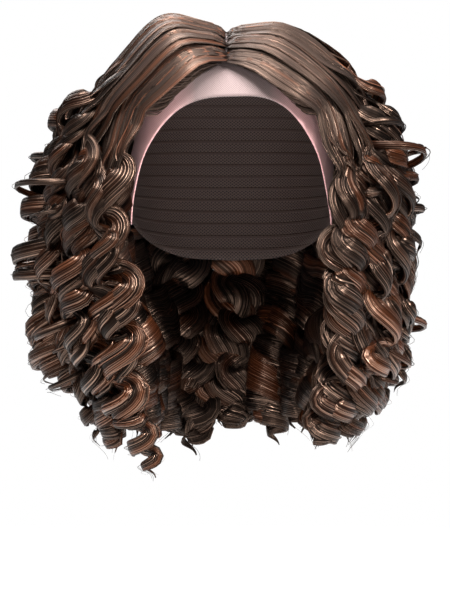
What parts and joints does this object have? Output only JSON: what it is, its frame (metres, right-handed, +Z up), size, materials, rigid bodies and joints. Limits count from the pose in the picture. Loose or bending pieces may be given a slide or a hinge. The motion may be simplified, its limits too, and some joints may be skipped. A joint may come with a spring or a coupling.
{
  "type": "lace front wig",
  "caption": "Dark brown lace-front wig with auburn lights, parted near the middle, its locks swept over a net cap and hanging to the neck in corkscrew ringlets.",
  "frame": {"origin": "inside of the cap's crown, where the cap sits on the top of a head", "axes": "+Z up, -Y out of the face opening, +X to the right of someone facing the wig"},
  "size_m": [0.2823, 0.2631, 0.3182],
  "materials": {
    "hair": "glossy synthetic hair fibre, dark brown with auburn lights",
    "lace": "fine sheer mesh, dusty pink",
    "cap_net": "dark stretch net with rows of sewn weft"
  },
  "bodies": {
    "root": {"net_cap": "cap_net", "lace_front": "lace", "wave_left_1": "hair", "ringlet_left_1": "hair", "wave_left_2": "hair", "ringlet_left_2": "hair", "wave_left_3": "hair", "ringlet_left_3": "hair", "wave_left_4": "hair", "ringlet_left_4": "hair", "wave_left_5": "hair", "ringlet_left_5": "hair", "wave_left_6": "hair", "ringlet_left_6": "hair", "wave_left_7": "hair", "ringlet_left_7": "hair", "wave_left_8": "hair", "ringlet_left_8": "hair", "wave_left_9": "hair", "ringlet_left_9": "hair", "wave_right_1": "hair", "ringlet_right_1": "hair", "wave_right_2": "hair", "ringlet_right_2": "hair", "wave_right_3": "hair", "ringlet_right_3": "hair", "wave_right_4": "hair", "ringlet_right_4": "hair", "wave_right_5": "hair", "ringlet_right_5": "hair", "wave_right_6": "hair", "ringlet_right_6": "hair", "wave_right_7": "hair", "ringlet_right_7": "hair", "wave_right_8": "hair", "ringlet_right_8": "hair", "wave_right_9": "hair", "ringlet_right_9": "hair", "wave_back": "hair", "ringlet_back": "hair", "inner_ringlet_1": "hair", "inner_ringlet_2": "hair", "inner_ringlet_3": "hair", "inner_ringlet_4": "hair", "inner_ringlet_5": "hair", "inner_ringlet_6": "hair", "inner_ringlet_7": "hair", "inner_ringlet_8": "hair", "inner_ringlet_9": "hair"}
  },
  "joints": []
}
